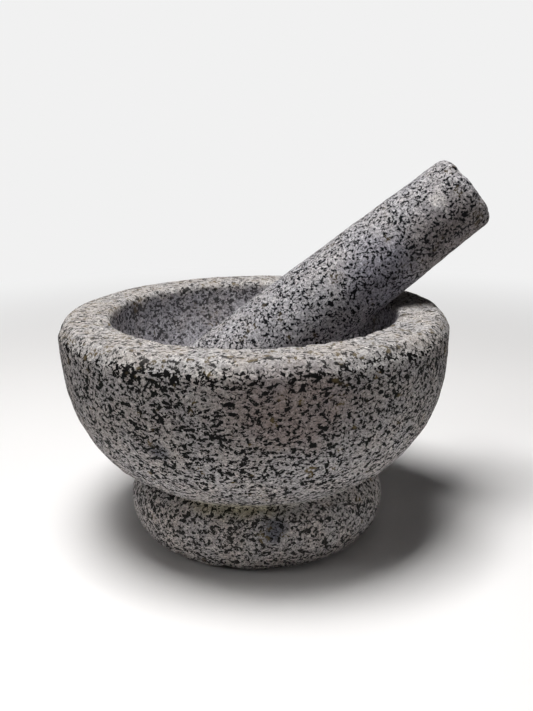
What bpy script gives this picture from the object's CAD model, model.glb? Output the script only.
from functools import cached_property
from math import asin, atan2, ceil, cos, degrees, radians, sin, sqrt, tan, tau

import bpy
import numpy as np
from mathutils import Matrix, Quaternion, Vector, noise


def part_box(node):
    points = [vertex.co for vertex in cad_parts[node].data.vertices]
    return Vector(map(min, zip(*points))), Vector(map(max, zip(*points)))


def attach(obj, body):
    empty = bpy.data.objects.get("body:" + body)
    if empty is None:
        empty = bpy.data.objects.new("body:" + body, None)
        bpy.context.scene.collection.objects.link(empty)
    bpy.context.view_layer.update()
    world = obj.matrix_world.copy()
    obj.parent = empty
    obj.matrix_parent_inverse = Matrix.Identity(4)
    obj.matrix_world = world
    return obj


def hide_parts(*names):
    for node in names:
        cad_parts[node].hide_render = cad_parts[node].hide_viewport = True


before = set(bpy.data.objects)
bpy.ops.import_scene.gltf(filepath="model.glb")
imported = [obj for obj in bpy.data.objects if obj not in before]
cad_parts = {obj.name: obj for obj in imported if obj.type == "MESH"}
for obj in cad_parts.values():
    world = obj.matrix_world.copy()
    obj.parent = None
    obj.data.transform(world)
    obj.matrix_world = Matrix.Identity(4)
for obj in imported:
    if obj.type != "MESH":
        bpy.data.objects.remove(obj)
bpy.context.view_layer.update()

# A granite mortar and the pestle that leans in its bowl. Each CAD solid is replaced by a turned mesh
# with a dressed, chipped surface, in a solid speckled granite, so the flecks run through the edges.
# Lengths are in metres and angles in degrees, except that the materials work in millimetres.

MM = 0.001

# The camera stands at the photograph's viewing angle.
CAMERA_TARGET = Vector((6.1, 0, 94)) * MM
CAMERA_DISTANCE = 456 * MM
CAMERA_AZIMUTH = 0.41
CAMERA_ELEVATION = 15.96
CAMERA_ROLL = -0.8
CAMERA_LENS = 43.12
CAMERA_SENSOR = 36

# The mortar's section, as in the CAD model.
MORTAR_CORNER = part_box("mortar")[1]
RIM_RADIUS = MORTAR_CORNER.x
HEIGHT = MORTAR_CORNER.z
RIM_BEVEL_WIDTH = 4.6 * MM
RIM_BEVEL_DROP = 6.6 * MM
BEVEL_TOP_RADIUS = 5.5 * MM
BEVEL_FOOT_RADIUS = 4.5 * MM
MOUTH_RADIUS = 75 * MM
MOUTH_EDGE_RADIUS = 3 * MM
SIDE_TOP = 110.2 * MM
SIDE_RADIUS = 162.3 * MM
SIDE_TURN = 7
NECK_RADIUS = 61.1 * MM
NECK_HEIGHT = 34.5 * MM
BOWL_DEPTH = 79 * MM
FOOT_RADIUS = 68.9 * MM
FOOT_BULGE_HEIGHT = 17.6 * MM
SOLE_RADIUS = 60.4 * MM
SOLE_EDGE_RADIUS = 7 * MM

# The pestle's section and its place, as in the CAD model.
PESTLE_LOW, PESTLE_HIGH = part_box("pestle")
PESTLE_LENGTH = 196 * MM
HEAD_RADIUS = 26.4 * MM
HEAD_LENGTH = 26 * MM
HANDLE_RADIUS = 21 * MM
HANDLE_EDGE_RADIUS = 6 * MM
PESTLE_LEAN = 38.2
HEAD_TIP = Vector((-40.3 * MM, (PESTLE_LOW.y + PESTLE_HIGH.y) / 2, 58.8 * MM))

# Marks in the stone: their places in the shared frame, in millimetres. The darker places have more
# flecks, and at the leaning place the pestle has kept the mouth's edge whole.
# On the mortar
BLACK_CLUSTER = (-45, -90, 111)
DARKER_PLACES = ((-38, -90, 80), (82, -55, 92))
BROWN_STAIN = (18, -99, 98)
NECK_STAIN = (-10, -62, 36)
BLUE_BLOTCHES = ((10, -67, 25), (-43, -89, 74))
MOUTH_NOTCH = (-66, 36, 116)
LEANING_PLACE = (72, 16, 118)
# On the pestle
PALE_PATCH = (94, -3, 175)
PESTLE_STAIN = (104, 2, 154)
PESTLE_BLUE = (70, -6, 136)

# How deep the dressed surface is chipped, and how far it is set back from the turned shape
MOUTH_CHIP = 1.2 * MM
RIM_CHIP = 0.8 * MM
FOOT_CHIP = 1.5 * MM
FINE_FOOT_CHIP = 0.9 * MM
HANDLE_CHIP = 1 * MM
BOWL_SETBACK = 0.25 * MM
SOLE_SETBACK = 0.35 * MM
PESTLE_SETBACK = 0.2 * MM

# Backdrop: FLOOR_FADE is where the floor starts and ends fading into the surround, in millimetres, and
# BOUNCE_RADIUS is how far from the middle it reflects light onto the object.
FLOOR_COLOUR = (0.91, 0.895, 0.885, 1)
FLOOR_FADE = (320, 800)
BOUNCE_RADIUS = 0.34
SURROUND_RADIUS = 9
SURROUND_GLOW = 0.88
BACKDROP_SEGMENTS = 96

# Light: each softbox's place, size and power
SOFTBOXES = {
    "top_softbox": ((-0.15, -0.17, 1.2), 0.5, 17),
    "left_softbox": ((-1, -0.4, 0.6), 0.4, 1.4),
    "right_softbox": ((1.1, -0.15, 0.16), 0.25, 1.2),
}
WORLD_GLOW = 0.01

# Mesh fineness
MORTAR_SEGMENTS = 480
PESTLE_SEGMENTS = 200
SOLE_STEP = 10 * MM
OUTSIDE_STEP = 1.2 * MM
INSIDE_STEP = 2.6 * MM
PESTLE_STEP = 0.8 * MM


# ---- Sections: lists of (radius, height) points, drawn as runs that share their end points ----

def ellipse_run(centre, radii, start, sweep, step):
    """Points along part of an upright ellipse, from the start angle round by the sweep, in degrees."""
    length = abs(radians(sweep)) * max(radii)
    count = max(3, ceil(length / step))
    angles = [radians(start + sweep * i / count) for i in range(count + 1)]
    return [(centre[0] + radii[0] * cos(a), centre[1] + radii[1] * sin(a)) for a in angles]


def line_run(start, end, step):
    """Points along a straight line."""
    count = max(1, ceil(sqrt((end[0] - start[0]) ** 2 + (end[1] - start[1]) ** 2) / step))
    return [
        (start[0] + (end[0] - start[0]) * i / count, start[1] + (end[1] - start[1]) * i / count)
        for i in range(count + 1)
    ]


def circle_run(centre, start, end, step):
    """Points along the shorter arc about a centre, from one point to another."""
    radius = sqrt((start[0] - centre[0]) ** 2 + (start[1] - centre[1]) ** 2)
    first = degrees(atan2(start[1] - centre[1], start[0] - centre[0]))
    last = degrees(atan2(end[1] - centre[1], end[0] - centre[0]))
    sweep = (last - first + 180) % 360 - 180
    return ellipse_run(centre, (radius, radius), first, sweep, step)


def tangent_centre(point, towards_centre, end):
    """The centre of the circle through two points, given the direction to it from the first."""
    chord = Vector(end) - Vector(point)
    radius = chord.length_squared / (2 * chord.dot(towards_centre))
    return Vector(point) + radius * towards_centre


def circumcentre(a, b, c):
    """The centre of the circle through three points."""
    rows = np.array([[b[0] - a[0], b[1] - a[1]], [c[0] - a[0], c[1] - a[1]]])
    sums = np.array([np.dot(b, b) - np.dot(a, a), np.dot(c, c) - np.dot(a, a)]) / 2
    return np.linalg.solve(rows, sums)


def corner_run(before, corner, after, radius, step):
    """Points along the arc that rounds off a corner between two straight lines."""
    back = (Vector(before) - Vector(corner)).normalized()
    ahead = (Vector(after) - Vector(corner)).normalized()
    half = back.angle(ahead) / 2
    centre = Vector(corner) + (back + ahead).normalized() * radius / sin(half)
    reach = radius / tan(half)
    return circle_run(centre, Vector(corner) + back * reach, Vector(corner) + ahead * reach, step)


def join_runs(runs):
    """One list of points from runs whose ends meet."""
    points = [runs[0][0]]
    for run in runs:
        points += run[1:]
    return points


def mortar_section():
    """From the middle of the underside, out and up the foot and bowl, over the rim, and down inside."""
    neck = (NECK_RADIUS, NECK_HEIGHT)
    foot_centre = circumcentre((SOLE_RADIUS, 0), (FOOT_RADIUS, FOOT_BULGE_HEIGHT), neck)
    foot_curve = FOOT_RADIUS - foot_centre[0]

    # The lower edge's arc touches the floor, and the foot's arc from inside
    reach = foot_curve - SOLE_EDGE_RADIUS
    edge_centre = (
        foot_centre[0] + sqrt(reach**2 - (SOLE_EDGE_RADIUS - foot_centre[1]) ** 2),
        SOLE_EDGE_RADIUS,
    )
    outward = Vector(edge_centre) - Vector(foot_centre)
    foot_start = Vector(foot_centre) + outward.normalized() * foot_curve

    # The belly's arc meets the side's smoothly, and the foot's at the neck
    side = ellipse_run(
        (RIM_RADIUS - SIDE_RADIUS, SIDE_TOP), (SIDE_RADIUS, SIDE_RADIUS), 0, -SIDE_TURN, OUTSIDE_STEP
    )
    inward = Vector((-cos(radians(SIDE_TURN)), sin(radians(SIDE_TURN))))
    belly_centre = tangent_centre(side[-1], inward, neck)

    lip_centre = (MOUTH_RADIUS + MOUTH_EDGE_RADIUS, HEIGHT - MOUTH_EDGE_RADIUS)
    lip_top = (lip_centre[0], HEIGHT)
    bevel_foot = (RIM_RADIUS, HEIGHT - RIM_BEVEL_DROP)
    bevel_top = (RIM_RADIUS - RIM_BEVEL_WIDTH, HEIGHT)
    low_corner = corner_run(side[0], bevel_foot, bevel_top, BEVEL_FOOT_RADIUS, OUTSIDE_STEP)
    high_corner = corner_run(bevel_foot, bevel_top, lip_top, BEVEL_TOP_RADIUS, OUTSIDE_STEP)
    bowl_start = -degrees(asin(MOUTH_EDGE_RADIUS / BOWL_DEPTH))
    return join_runs([
        line_run((0, 0), (edge_centre[0], 0), SOLE_STEP),
        circle_run(edge_centre, (edge_centre[0], 0), foot_start, OUTSIDE_STEP),
        circle_run(foot_centre, foot_start, neck, OUTSIDE_STEP),
        circle_run(belly_centre, neck, side[-1], OUTSIDE_STEP),
        side[::-1],
        line_run(side[0], low_corner[0], OUTSIDE_STEP),
        low_corner,
        line_run(low_corner[-1], high_corner[0], OUTSIDE_STEP),
        high_corner,
        line_run(high_corner[-1], lip_top, OUTSIDE_STEP),
        ellipse_run(lip_centre, (MOUTH_EDGE_RADIUS, MOUTH_EDGE_RADIUS), 90, 90, OUTSIDE_STEP),
        ellipse_run((0, HEIGHT), (MOUTH_RADIUS, BOWL_DEPTH), bowl_start, -90 - bowl_start, INSIDE_STEP),
    ])


def pestle_section():
    """From the tip of the head, along the shaft, to the middle of the handle's flat end."""
    edge = HANDLE_EDGE_RADIUS
    edge_centre = (HANDLE_RADIUS - edge, PESTLE_LENGTH - edge)
    return join_runs([
        ellipse_run((0, HEAD_LENGTH), (HEAD_RADIUS, HEAD_LENGTH), -90, 90, PESTLE_STEP),
        line_run((HEAD_RADIUS, HEAD_LENGTH), (HANDLE_RADIUS, PESTLE_LENGTH - edge), PESTLE_STEP),
        ellipse_run(edge_centre, (edge, edge), 0, 90, PESTLE_STEP),
        line_run((edge_centre[0], PESTLE_LENGTH), (0, PESTLE_LENGTH), PESTLE_STEP),
    ])


# ---- Turned stones ----

def section_normals(section):
    """Outward unit normals (radial, axial) of a section that runs anticlockwise, at each point."""
    points = np.array(section)
    along = np.gradient(points, axis=0)
    normals = np.stack([along[:, 1], -along[:, 0]], axis=1)
    return normals / np.linalg.norm(normals, axis=1)[:, None]


def turned_stone(name, section, segments, place, relief):
    """A closed mesh turned about +Z from a section and set in its place.

    Every point moves out along the surface's normal by relief(point, radius, height).
    """
    turn = place.to_3x3()
    points = []
    for (radius, height), (radial, axial) in zip(section, section_normals(section)):
        on_axis = radius < 1e-9
        for i in range(1 if on_axis else segments):
            out = Vector((cos(tau * i / segments), sin(tau * i / segments), 0))
            normal = out * radial + Vector((0, 0, axial))
            if on_axis:
                normal = Vector((0, 0, axial / abs(axial)))
            point = place @ (out * radius + Vector((0, 0, height)))
            points.append(point + turn @ normal * relief(point, radius, height))

    # The first and last rings are single points on the axis, where the faces are triangles
    rings = [[0] * segments]
    rings += [[1 + segments * i + j for j in range(segments)] for i in range(len(section) - 2)]
    rings += [[len(points) - 1] * segments]
    faces = []
    for lower, upper in zip(rings, rings[1:]):
        for j in range(segments):
            k = (j + 1) % segments
            corners = (lower[j], lower[k], upper[k], upper[j])
            faces.append(list(dict.fromkeys(corners)))
    mesh = bpy.data.meshes.new(name)
    mesh.from_pydata(points, [], faces)
    mesh.shade_smooth()
    stone = bpy.data.objects.new(name, mesh)
    bpy.context.scene.collection.objects.link(stone)
    return stone


def smooth_step(low, high, value):
    """0 below low, 1 above high, and smooth between."""
    t = min(1.0, max(0.0, (value - low) / (high - low)))
    return t * t * (3 - 2 * t)


def rough(point, size, octaves=3):
    """Fractal noise of a given grain size, about -1 to 1."""
    return noise.fractal(point / size, 1.0, 2.0, octaves, noise_basis="PERLIN_ORIGINAL")


def near(value, centre, reach):
    """1 at the centre, falling evenly to 0 at the given reach from it."""
    return max(0.0, 1 - abs(value - centre) / reach)


def chipping(point, size):
    """0 to 1: how deep the edge is chipped here, in separate chips of about the given size."""
    return smooth_step(0.1, 0.45, rough(point, size, octaves=2))


def mortar_relief(point, radius, height):
    """How far the mortar's dressed surface stands out from the turned shape, in metres."""
    dressing = 0.35 * MM * rough(point, 9 * MM)
    grain = 0.12 * MM * rough(point, 2.2 * MM, octaves=2)
    from_notch = (point.xy - Vector(MOUTH_NOTCH).xy * MM).length
    notch = near(from_notch, centre=0, reach=2 * MM) * (height > HEIGHT - 14 * MM)
    mouth_edge = near(radius, centre=MOUTH_RADIUS + 1 * MM, reach=4 * MM) * (height > HEIGHT - 5 * MM)
    if mouth_edge:
        # Where the pestle leans on it, the edge is smooth and has no chips
        from_pestle = (point - Vector(LEANING_PLACE) * MM).length
        unrubbed = smooth_step(8 * MM, 22 * MM, from_pestle)
        chips = unrubbed * chipping(point, size=5 * MM) + notch
        return unrubbed * (dressing + grain) - MOUTH_CHIP * mouth_edge * chips
    if radius < MOUTH_RADIUS and height > NECK_HEIGHT:
        return -BOWL_SETBACK + 0.5 * dressing + 0.5 * grain - MOUTH_CHIP * notch
    swell = 0.8 * MM * rough(point, 55 * MM, octaves=2)
    rim_edge = near(height, centre=HEIGHT - RIM_BEVEL_DROP, reach=6 * MM)
    rim_chips = RIM_CHIP * chipping(point, size=8 * MM) * (radius > RIM_RADIUS - 8 * MM)
    foot_edge = near(height, centre=3 * MM, reach=9 * MM) * (radius > SOLE_RADIUS - 5 * MM)
    foot_chips = FOOT_CHIP * chipping(point, size=9 * MM)
    foot_chips += FINE_FOOT_CHIP * chipping(point, size=3.5 * MM)
    chips = rim_edge * rim_chips + foot_edge * foot_chips
    sole = 1 - smooth_step(0, 5 * MM, height)
    return swell * (1 - sole) + dressing + grain - chips - SOLE_SETBACK * sole


def pestle_relief(point, radius, height):
    """How far the pestle's dressed surface stands out from the turned shape, in metres."""
    swell = 0.4 * MM * rough(point, 40 * MM, octaves=2)
    dressing = 0.25 * MM * rough(point, 7 * MM)
    grain = 0.1 * MM * rough(point, 2 * MM, octaves=2)
    handle_edge = near(height, centre=PESTLE_LENGTH - 2 * MM, reach=6 * MM)
    chips = HANDLE_CHIP * chipping(point, size=8 * MM) * (radius > HANDLE_RADIUS - 8 * MM)
    return -PESTLE_SETBACK + swell + dressing + grain - handle_edge * chips


# ---- Materials ----

# Each stone: the colours of its grains and flecks, the size of its flecks in millimetres, and how much
# they cover where they are sparse and where they are dense. The tints multiply the ground's colour.
MORTAR_STONE = {
    "cool": (0.54, 0.52, 0.53, 1),
    "warm": (0.6, 0.545, 0.515, 1),
    "pale": (0.87, 0.84, 0.815, 1),
    "quartz": (0.22, 0.205, 0.205, 1),
    "black": (0.005, 0.0045, 0.0045, 1),
    "rust": (0.12, 0.09, 0.045, 1),
    "fleck": 1.8,
    "sparse": 0.555,
    "dense": 0.645,
}
MORTAR_TINTS = {
    "foot": (1.16, 1.14, 1.12, 1),
    "belly": (1.04, 1.04, 1.04, 1),
    "side": (0.9, 0.885, 0.88, 1),
    "rim": (1.0, 1.0, 0.98, 1),
    "bowl": (0.98, 0.99, 1.06, 1),
    "neck_stain": (1.04, 1.0, 0.78, 1),
    "brown_stain": (0.74, 0.66, 0.64, 1),
    "blotch": (0.4, 0.42, 0.48, 1),
}
PESTLE_STONE = {
    "cool": (0.53, 0.52, 0.545, 1),
    "warm": (0.58, 0.55, 0.545, 1),
    "pale": (0.88, 0.86, 0.87, 1),
    "quartz": (0.21, 0.205, 0.215, 1),
    "black": (0.006, 0.006, 0.008, 1),
    "rust": (0.07, 0.055, 0.035, 1),
    "fleck": 1.25,
    "sparse": 0.555,
    "dense": 0.635,
}
PESTLE_TINTS = {
    "plain": (0.98, 0.97, 0.97, 1),
    "blue": (0.9, 0.9, 1.0, 1),
    "stain": (0.68, 0.62, 0.6, 1),
    "pale": (1.35, 1.32, 1.26, 1),
}


class Shading:
    """Adds nodes to one material. Positions are in millimetres, in the shared frame."""

    def __init__(self, name):
        self.material = bpy.data.materials.new(name)
        self.material.use_nodes = True
        self.tree = self.material.node_tree
        self.shader = self.tree.nodes["Principled BSDF"]
        place = self.tree.nodes.new("ShaderNodeTexCoord").outputs["Object"]
        self.position = self.vector("SCALE", place, Scale=1 / MM)

    @cached_property
    def uneven(self):
        """The position, pushed about, which makes the outlines of spots uneven."""
        return self.warped(self.position, size=9, reach=9)

    def put(self, socket, value):
        """Links a node's output to a socket, or sets a plain value on it."""
        if isinstance(value, bpy.types.NodeSocket):
            self.tree.links.new(value, socket)
        else:
            socket.default_value = value

    def node(self, kind, settings, inputs):
        """One node, with its settings and its inputs by name."""
        new = self.tree.nodes.new(kind)
        for key, value in settings.items():
            setattr(new, key, value)
        for key, value in inputs.items():
            self.put(new.inputs[key], value)
        return new

    def math(self, operation, *values):
        """A number worked out from others."""
        new = self.node("ShaderNodeMath", {"operation": operation}, {})
        for socket, value in zip(new.inputs, values):
            self.put(socket, value)
        return new.outputs[0]

    def vector(self, operation, *values, **inputs):
        """A vector worked out from others, or its length."""
        new = self.node("ShaderNodeVectorMath", {"operation": operation}, inputs)
        for socket, value in zip(new.inputs, values):
            self.put(socket, value)
        return new.outputs["Value" if operation == "LENGTH" else "Vector"]

    def noise(self, position, size, detail=2, roughness=0.5, output="Fac"):
        """Fractal noise of a given grain size, about 0.5 on average."""
        inputs = {"Vector": position, "Scale": 1 / size, "Detail": detail, "Roughness": roughness}
        return self.node("ShaderNodeTexNoise", {"noise_dimensions": "3D"}, inputs).outputs[output]

    def cells(self, position, size):
        """0 to 1, the same all over each cell of about the given size."""
        inputs = {"Vector": position, "Scale": 1 / size}
        colour = self.node("ShaderNodeTexVoronoi", {}, inputs).outputs["Color"]
        return self.node("ShaderNodeSeparateColor", {}, {"Color": colour}).outputs[0]

    def step(self, value, low, high, start=0, end=1):
        """Smoothly from start, where the value is at or below low, to end at high."""
        inputs = {"Value": value, "From Min": low, "From Max": high, "To Min": start, "To Max": end}
        return self.node("ShaderNodeMapRange", {"interpolation_type": "SMOOTHSTEP"}, inputs).outputs[0]

    def mix(self, factor, a, b):
        """Colour a where the factor is 0, b where it is 1."""
        new = self.node("ShaderNodeMix", {"data_type": "RGBA"}, {"Factor": factor})
        self.put(new.inputs[6], a)
        self.put(new.inputs[7], b)
        return new.outputs[2]

    def spot(self, centre, reach, squash=1):
        """1 at a place in the stone, fading unevenly to 0 at the given reach, less far up and down."""
        offset = self.vector("SUBTRACT", self.uneven, centre)
        offset = self.vector("MULTIPLY", offset, (1, 1, squash))
        return self.step(self.vector("LENGTH", offset), 0.3 * reach, reach, start=1, end=0)

    def warped(self, position, size, reach):
        """The position, pushed about by noise of the given size."""
        push = self.noise(position, size, roughness=0.6, output="Color")
        push = self.vector("SUBTRACT", push, (0.5, 0.5, 0.5))
        return self.vector("ADD", position, self.vector("SCALE", push, Scale=reach))


def islands(s, position, size, level):
    """1 on ragged islands of about the given size, 0 off them; the level sets how much they cover."""
    land = s.noise(position, 1.15 * size, detail=3, roughness=0.6)
    land = s.math("MULTIPLY_ADD", s.cells(position, size), 0.3, land)
    return s.step(s.math("SUBTRACT", level, land), -0.01, 0.015)


def speckled(s, stone, lie, crowding, pepper, dust, rusting, tint):
    """Granite: a ground of feldspar and quartz grains with black flecks, some of them rusty.

    The lie squeezes the grain along each axis, crowding adds flecks, pepper sets how many fine ones lie
    among them, dust dulls them, rusting turns more of them brown, and the tint multiplies the ground.
    """
    fleck = stone["fleck"]
    curled = s.warped(s.vector("MULTIPLY", s.position, lie), size=4.5, reach=3.5)
    ragged = s.warped(curled, size=0.7 * fleck, reach=0.6 * fleck)

    # Ground: every grain has its own lightness, over slow drifts from cool to warm
    drift = s.noise(s.position, 16, detail=3)
    ground = s.mix(s.step(drift, 0.4, 0.6), stone["cool"], stone["warm"])
    lightness = s.step(s.cells(ragged, 1.7), 0.1, 1, end=0.6)
    ground = s.mix(lightness, ground, stone["pale"])
    quartz = s.noise(ragged, 1.2, detail=4, roughness=0.8)
    quartz = s.step(quartz, 0.4, 0.64, start=0.85, end=0)
    ground = s.mix(quartz, ground, stone["quartz"])
    ground = s.vector("MULTIPLY", ground, tint)

    # Black flecks: ragged islands, more crowded here and there, with finer ones between them
    crowds = s.noise(s.position, 6, roughness=0.6)
    level = s.step(crowds, 0.3, 0.7, start=stone["sparse"], end=stone["dense"])
    flecks = islands(s, ragged, fleck, s.math("ADD", level, crowding))
    flecks = s.math("MAXIMUM", flecks, islands(s, ragged, 0.6 * fleck, pepper))
    rusty = s.step(s.math("ADD", s.noise(s.position, 7, detail=1), rusting), 0.66, 0.74)
    black = s.mix(rusty, stone["black"], stone["rust"])
    shown = s.math("MULTIPLY", flecks, s.math("SUBTRACT", 1, dust))
    colour = s.mix(shown, ground, black)

    # The flecks are a little smoother than the ground, and lie a little lower
    s.put(s.shader.inputs["Base Color"], colour)
    s.put(s.shader.inputs["Roughness"], s.step(flecks, 0, 1, start=0.9, end=0.7))
    s.shader.inputs["Specular IOR Level"].default_value = 0.1
    grit = s.noise(ragged, 0.9, detail=4, roughness=0.65)
    relief = s.math("MULTIPLY_ADD", flecks, -0.3, grit)
    bump = s.node("ShaderNodeBump", {}, {"Height": relief, "Distance": 0.35 * MM, "Strength": 0.6})
    s.put(s.shader.inputs["Normal"], bump.outputs["Normal"])
    return s.material


def mortar_granite():
    """The mortar's granite: pale round the mouth, dusty in the bowl, blacker along the bevel's foot."""
    s = Shading("mortar_granite")
    height = s.node("ShaderNodeSeparateXYZ", {}, {"Vector": s.position}).outputs["Z"]
    radius = s.vector("LENGTH", s.vector("MULTIPLY", s.position, (1, 1, 0)))

    # Inside the bowl's ellipsoid, the rim's flat top, its worn middle, and the band at the bevel's foot
    across = s.vector("SUBTRACT", s.position, (0, 0, HEIGHT / MM))
    across = s.vector("DIVIDE", across, (MOUTH_RADIUS / MM, MOUTH_RADIUS / MM, BOWL_DEPTH / MM))
    inside = s.step(s.vector("LENGTH", across), 1.02, 1.05, start=1, end=0)
    inside = s.math("MULTIPLY", inside, s.step(height, 113, 118, start=1, end=0))
    top = s.step(height, 114, 118)
    worn = s.math("MULTIPLY", top, s.step(radius, 75, 80))
    worn = s.math("MULTIPLY", worn, s.step(radius, 80, 94, start=1, end=0))
    band = s.step(height, 105, 109)
    band = s.math("MULTIPLY", band, s.step(height, 112, 116, start=1, end=0))

    # How many flecks
    patches = s.step(s.noise(s.position, 7, detail=1), 0.5, 0.62, end=0.08)
    crowding = s.math("MULTIPLY", band, patches)
    crowding = s.math("MULTIPLY_ADD", s.spot(BLACK_CLUSTER, 28, squash=3.5), 0.07, crowding)
    crowding = s.math("MULTIPLY_ADD", s.spot(MOUTH_NOTCH, 3, squash=0.4), 0.2, crowding)
    for place in DARKER_PLACES:
        crowding = s.math("MULTIPLY_ADD", s.spot(place, 32), 0.03, crowding)
    for worn_place in (top, worn):
        crowding = s.math("MULTIPLY_ADD", worn_place, -0.02, crowding)
    pepper = s.step(height, 30, 60, start=0.53, end=0.505)
    for worn_place in (top, inside):
        pepper = s.math("MULTIPLY_ADD", worn_place, -0.04, pepper)

    # How dull and how brown they are
    dust = s.math("MAXIMUM", s.math("MULTIPLY", top, 0.12), s.math("MULTIPLY", inside, 0.18))
    dust = s.math("MAXIMUM", dust, s.step(height, 30, 45, start=0.06, end=0))
    rusting = s.step(height, 112, 118, end=0.15)

    tint = s.mix(s.step(height, 60, 96), MORTAR_TINTS["belly"], MORTAR_TINTS["side"])
    tint = s.mix(s.step(height, 28, 38), MORTAR_TINTS["foot"], tint)
    tint = s.mix(s.step(height, 108, 114), tint, MORTAR_TINTS["rim"])
    tint = s.mix(s.spot(NECK_STAIN, 42, squash=5), tint, MORTAR_TINTS["neck_stain"])
    tint = s.mix(s.spot(BROWN_STAIN, 44, squash=1.6), tint, MORTAR_TINTS["brown_stain"])
    tint = s.mix(inside, tint, MORTAR_TINTS["bowl"])
    for blotch in BLUE_BLOTCHES:
        tint = s.mix(s.spot(blotch, 9), tint, MORTAR_TINTS["blotch"])
    return speckled(s, MORTAR_STONE, (1, 1, 1.25), crowding, pepper, dust, rusting, tint)


def pestle_granite():
    """The pestle's granite: finer and cooler, with a pale patch, a brown stain and a bluish place."""
    s = Shading("pestle_granite")
    crowding = s.math("MULTIPLY", s.spot(PALE_PATCH, 7), -0.14)
    crowding = s.math("MULTIPLY_ADD", s.spot(PESTLE_STAIN, 32), 0.025, crowding)
    tint = s.mix(s.spot(PESTLE_BLUE, 30), PESTLE_TINTS["plain"], PESTLE_TINTS["blue"])
    tint = s.mix(s.spot(PESTLE_STAIN, 34), tint, PESTLE_TINTS["stain"])
    tint = s.mix(s.spot(PALE_PATCH, 7), tint, PESTLE_TINTS["pale"])
    return speckled(
        s, PESTLE_STONE, (1, 1, 1), crowding, pepper=0.48, dust=0, rusting=0.04, tint=tint
    )


def surround_glow(s):
    """The surround's even pale light."""
    return s.node("ShaderNodeEmission", {}, {"Strength": SURROUND_GLOW}).outputs["Emission"]


def floor_material():
    """Pale and matt in the middle, fading into the surround's glow."""
    s = Shading("floor")
    s.shader.inputs["Base Color"].default_value = FLOOR_COLOUR
    s.shader.inputs["Roughness"].default_value = 0.9
    distance = s.vector("LENGTH", s.position)
    blend = s.node("ShaderNodeMixShader", {}, {"Fac": s.step(distance, *FLOOR_FADE)})
    s.put(blend.inputs[1], s.shader.outputs["BSDF"])
    s.put(blend.inputs[2], surround_glow(s))
    s.put(s.tree.nodes["Material Output"].inputs["Surface"], blend.outputs["Shader"])
    return s.material


def surround_material():
    """Nothing but the glow."""
    s = Shading("surround")
    s.put(s.tree.nodes["Material Output"].inputs["Surface"], surround_glow(s))
    return s.material


# ---- Stage ----

def add_camera():
    """The scene's camera, aimed at CAMERA_TARGET from CAMERA_DISTANCE and rolled a little."""
    azimuth, elevation = radians(CAMERA_AZIMUTH), radians(CAMERA_ELEVATION)
    back = Vector((sin(azimuth) * cos(elevation), -cos(azimuth) * cos(elevation), sin(elevation)))
    turn = back.to_track_quat("Z", "Y") @ Quaternion((0, 0, 1), radians(CAMERA_ROLL))
    camera = bpy.data.objects.new("camera", bpy.data.cameras.new("camera"))
    camera.data.lens = CAMERA_LENS
    camera.data.sensor_width = CAMERA_SENSOR
    place = CAMERA_TARGET + back * CAMERA_DISTANCE
    camera.matrix_world = Matrix.Translation(place) @ turn.to_matrix().to_4x4()
    bpy.context.scene.collection.objects.link(camera)
    bpy.context.scene.camera = camera


def add_softbox(name, place, size, power):
    """A square white area light, unseen itself, that faces what the camera faces."""
    lamp = bpy.data.lights.new(name, "AREA")
    lamp.size = size
    lamp.energy = power
    softbox = bpy.data.objects.new(name, lamp)
    turn = (Vector(place) - CAMERA_TARGET).to_track_quat("Z", "Y")
    softbox.matrix_world = Matrix.Translation(place) @ turn.to_matrix().to_4x4()
    softbox.visible_camera = False
    bpy.context.scene.collection.objects.link(softbox)


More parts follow.
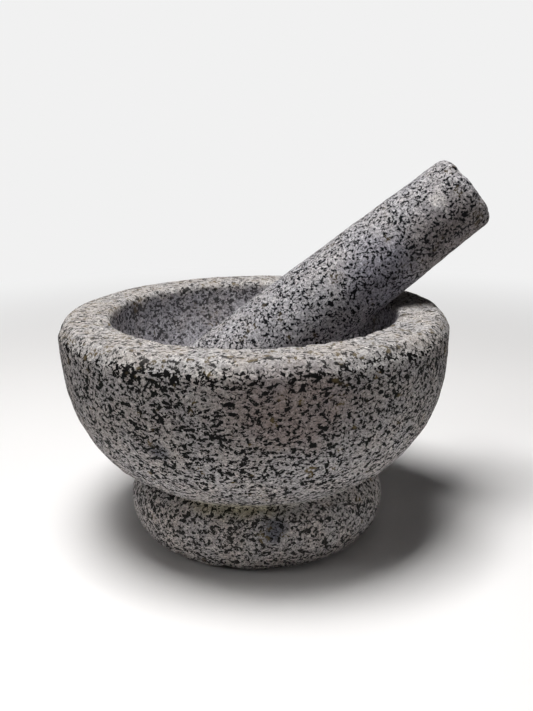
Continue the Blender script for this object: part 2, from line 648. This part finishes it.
def add_ring(name, inner, outer, material):
    """A flat ring on the floor."""
    count = BACKDROP_SEGMENTS
    angles = [tau * i / count for i in range(count)]
    points = [(r * cos(a), r * sin(a), 0) for r in (inner, outer) for a in angles]
    faces = [(i, (i + 1) % count, count + (i + 1) % count, count + i) for i in range(count)]
    mesh = bpy.data.meshes.new(name)
    mesh.from_pydata(points, [], faces)
    mesh.materials.append(material)
    ring = bpy.data.objects.new(name, mesh)
    bpy.context.scene.collection.objects.link(ring)
    return ring


def add_backdrop():
    """A pale floor that fades, away from the object, into an even pale surround.

    Only the floor near the object reflects light onto it.
    """
    bpy.ops.mesh.primitive_circle_add(
        vertices=BACKDROP_SEGMENTS, radius=BOUNCE_RADIUS, fill_type="NGON"
    )
    floor = bpy.context.object
    floor.name = "floor"
    floor.data.materials.append(floor_material())
    far_floor = add_ring("far_floor", BOUNCE_RADIUS, SURROUND_RADIUS, floor.data.materials[0])

    bpy.ops.mesh.primitive_uv_sphere_add(segments=64, ring_count=32, radius=SURROUND_RADIUS)
    surround = bpy.context.object
    surround.name = "surround"
    surround.data.materials.append(surround_material())
    for far in (far_floor, surround):
        far.visible_diffuse = False
        far.visible_glossy = False
        far.visible_shadow = False


def add_world():
    """An even white light from all round, almost none of it."""
    world = bpy.data.worlds.new("world")
    world.use_nodes = True
    background = world.node_tree.nodes["Background"]
    background.inputs["Color"].default_value = (1, 1, 1, 1)
    background.inputs["Strength"].default_value = WORLD_GLOW
    bpy.context.scene.world = world


# ---- The object ----

def stand_for(stone, node, body, material):
    """The stone takes a CAD node's place and moves with its body."""
    stone.data.materials.append(material)
    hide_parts(node)
    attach(stone, body)


mortar = turned_stone(
    "mortar_stone", mortar_section(), MORTAR_SEGMENTS, Matrix.Identity(4), mortar_relief
)
stand_for(mortar, "mortar", "mortar", mortar_granite())

pestle_place = Matrix.Translation(HEAD_TIP) @ Matrix.Rotation(radians(90 - PESTLE_LEAN), 4, "Y")
pestle = turned_stone("pestle_stone", pestle_section(), PESTLE_SEGMENTS, pestle_place, pestle_relief)
stand_for(pestle, "pestle", "pestle", pestle_granite())

add_camera()
add_backdrop()
add_world()
for name, (place, size, power) in SOFTBOXES.items():
    add_softbox(name, place, size, power)
bpy.context.scene.view_settings.view_transform = "Standard"
